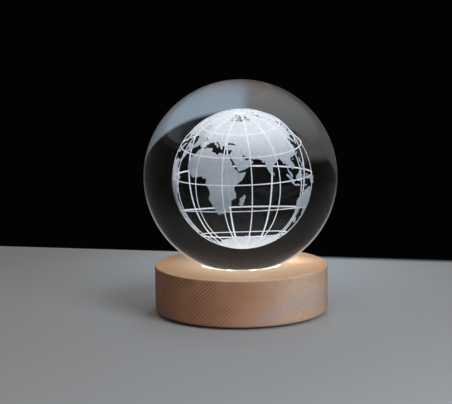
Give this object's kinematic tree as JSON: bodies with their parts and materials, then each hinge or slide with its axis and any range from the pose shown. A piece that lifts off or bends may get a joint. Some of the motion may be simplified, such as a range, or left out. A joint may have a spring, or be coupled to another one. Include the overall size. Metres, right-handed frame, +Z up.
{
  "type": "light-up ball ornament",
  "caption": "Solid glass ball resting in a seat on a round turned wooden stand that lights it from below with an LED ring, with a rear power socket and push switch.",
  "frame": {"origin": "centre of the surface that the feet stand on, under the middle of the ball", "axes": "+Z up through the ball's centre, front towards -Y, power socket and switch at the rear (+Y)"},
  "size_m": [0.08, 0.08, 0.0967],
  "materials": {
    "optical_glass": "polished",
    "beech": "sanded and thinly varnished",
    "clear_acrylic": "polished",
    "white_board": "white solder mask",
    "led_package": "white package with a pale yellow fill",
    "resistor_ceramic": "ceramic with tinned ends",
    "screw_steel": "zinc plated",
    "socket_plastic": "moulded, satin",
    "socket_brass": "bright",
    "button_plastic": "moulded, satin",
    "spring_steel": "drawn wire",
    "red_wire": "smooth insulation",
    "black_wire": "smooth insulation",
    "black_plastic": "fine moulded texture",
    "grey_rubber": "matt"
  },
  "bodies": {
    "stand": {"wood_base": "beech", "lens_disc": "clear_acrylic", "led_board": "white_board", "led_01": "led_package", "led_02": "led_package", "led_03": "led_package", "led_04": "led_package", "led_05": "led_package", "led_06": "led_package", "led_07": "led_package", "led_08": "led_package", "led_09": "led_package", "led_10": "led_package", "resistor_1": "resistor_ceramic", "resistor_2": "resistor_ceramic", "board_screw_1": "screw_steel", "board_screw_2": "screw_steel", "board_screw_3": "screw_steel", "jack_housing": "socket_plastic", "jack_pin": "socket_brass", "jack_contact": "socket_brass", "switch_body": "socket_plastic", "switch_spring": "spring_steel", "switch_cover": "socket_plastic", "switch_terminal_1": "socket_brass", "switch_terminal_2": "socket_brass", "wire_supply": "red_wire", "wire_switched": "red_wire", "wire_return": "black_wire", "base_plate": "black_plastic", "plate_screw_1": "screw_steel", "plate_screw_2": "screw_steel", "plate_screw_3": "screw_steel", "plate_screw_4": "screw_steel", "foot_1": "grey_rubber", "foot_2": "grey_rubber", "foot_3": "grey_rubber", "foot_4": "grey_rubber"},
    "ball": {"crystal_ball": "optical_glass"},
    "button": {"switch_button": "button_plastic", "switch_bridge": "socket_brass"}
  },
  "joints": [
    {"name": "ball_lift", "type": "slide", "parent": "stand", "child": "ball", "axis": [0, 0, 1], "range_m": [0, 0.045]},
    {"name": "switch_press", "type": "slide", "parent": "stand", "child": "button", "axis": [-0.3827, -0.9239, 0], "range_m": [0, 0.0012], "stiffness_N_per_m": 250, "springref_m": -0.002, "deforming": ["switch_spring"]}
  ]
}
